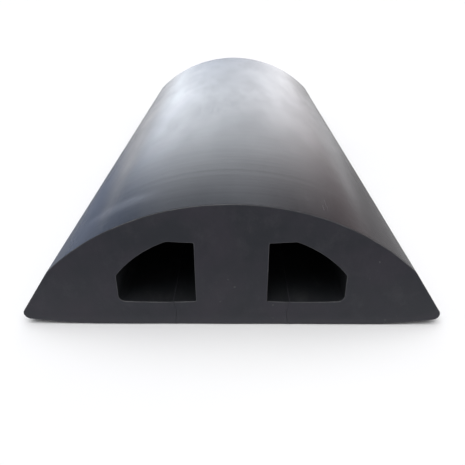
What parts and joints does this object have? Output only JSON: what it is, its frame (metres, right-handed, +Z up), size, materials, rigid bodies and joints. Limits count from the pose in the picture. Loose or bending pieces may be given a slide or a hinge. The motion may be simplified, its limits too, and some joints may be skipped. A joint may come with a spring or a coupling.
{
  "type": "cable protector ramp",
  "caption": "Domed length of solid black rubber laid over cables or hoses, with a cable channel either side of a thick centre web and slit floor strips that bend in to load them.",
  "frame": {"origin": "middle of the flat base, halfway along the ramp", "axes": "+X across the ramp, +Y along it, +Z up through the crown"},
  "size_m": [0.25, 0.5, 0.08],
  "materials": {
    "ramp_rubber": "extruded black rubber: satin outside skin, matt on the cut ends",
    "flap_rubber": "the same rubber as the ramp, knife-cut along the free edge"
  },
  "bodies": {
    "ramp": {"ramp_body": "ramp_rubber"},
    "left_flap": {"left_floor_flap": "flap_rubber"},
    "right_flap": {"right_floor_flap": "flap_rubber"}
  },
  "joints": [
    {"name": "left_flap_hinge", "type": "hinge", "parent": "ramp", "child": "left_flap", "pos_m": [-0.0576, 0, 0.0084], "axis": [0, -1, 0], "range_deg": [0, 50], "stiffness_Nm_per_rad": 5},
    {"name": "right_flap_hinge", "type": "hinge", "parent": "ramp", "child": "right_flap", "pos_m": [0.0576, 0, 0.0084], "axis": [0, 1, 0], "range_deg": [0, 50], "stiffness_Nm_per_rad": 5}
  ]
}
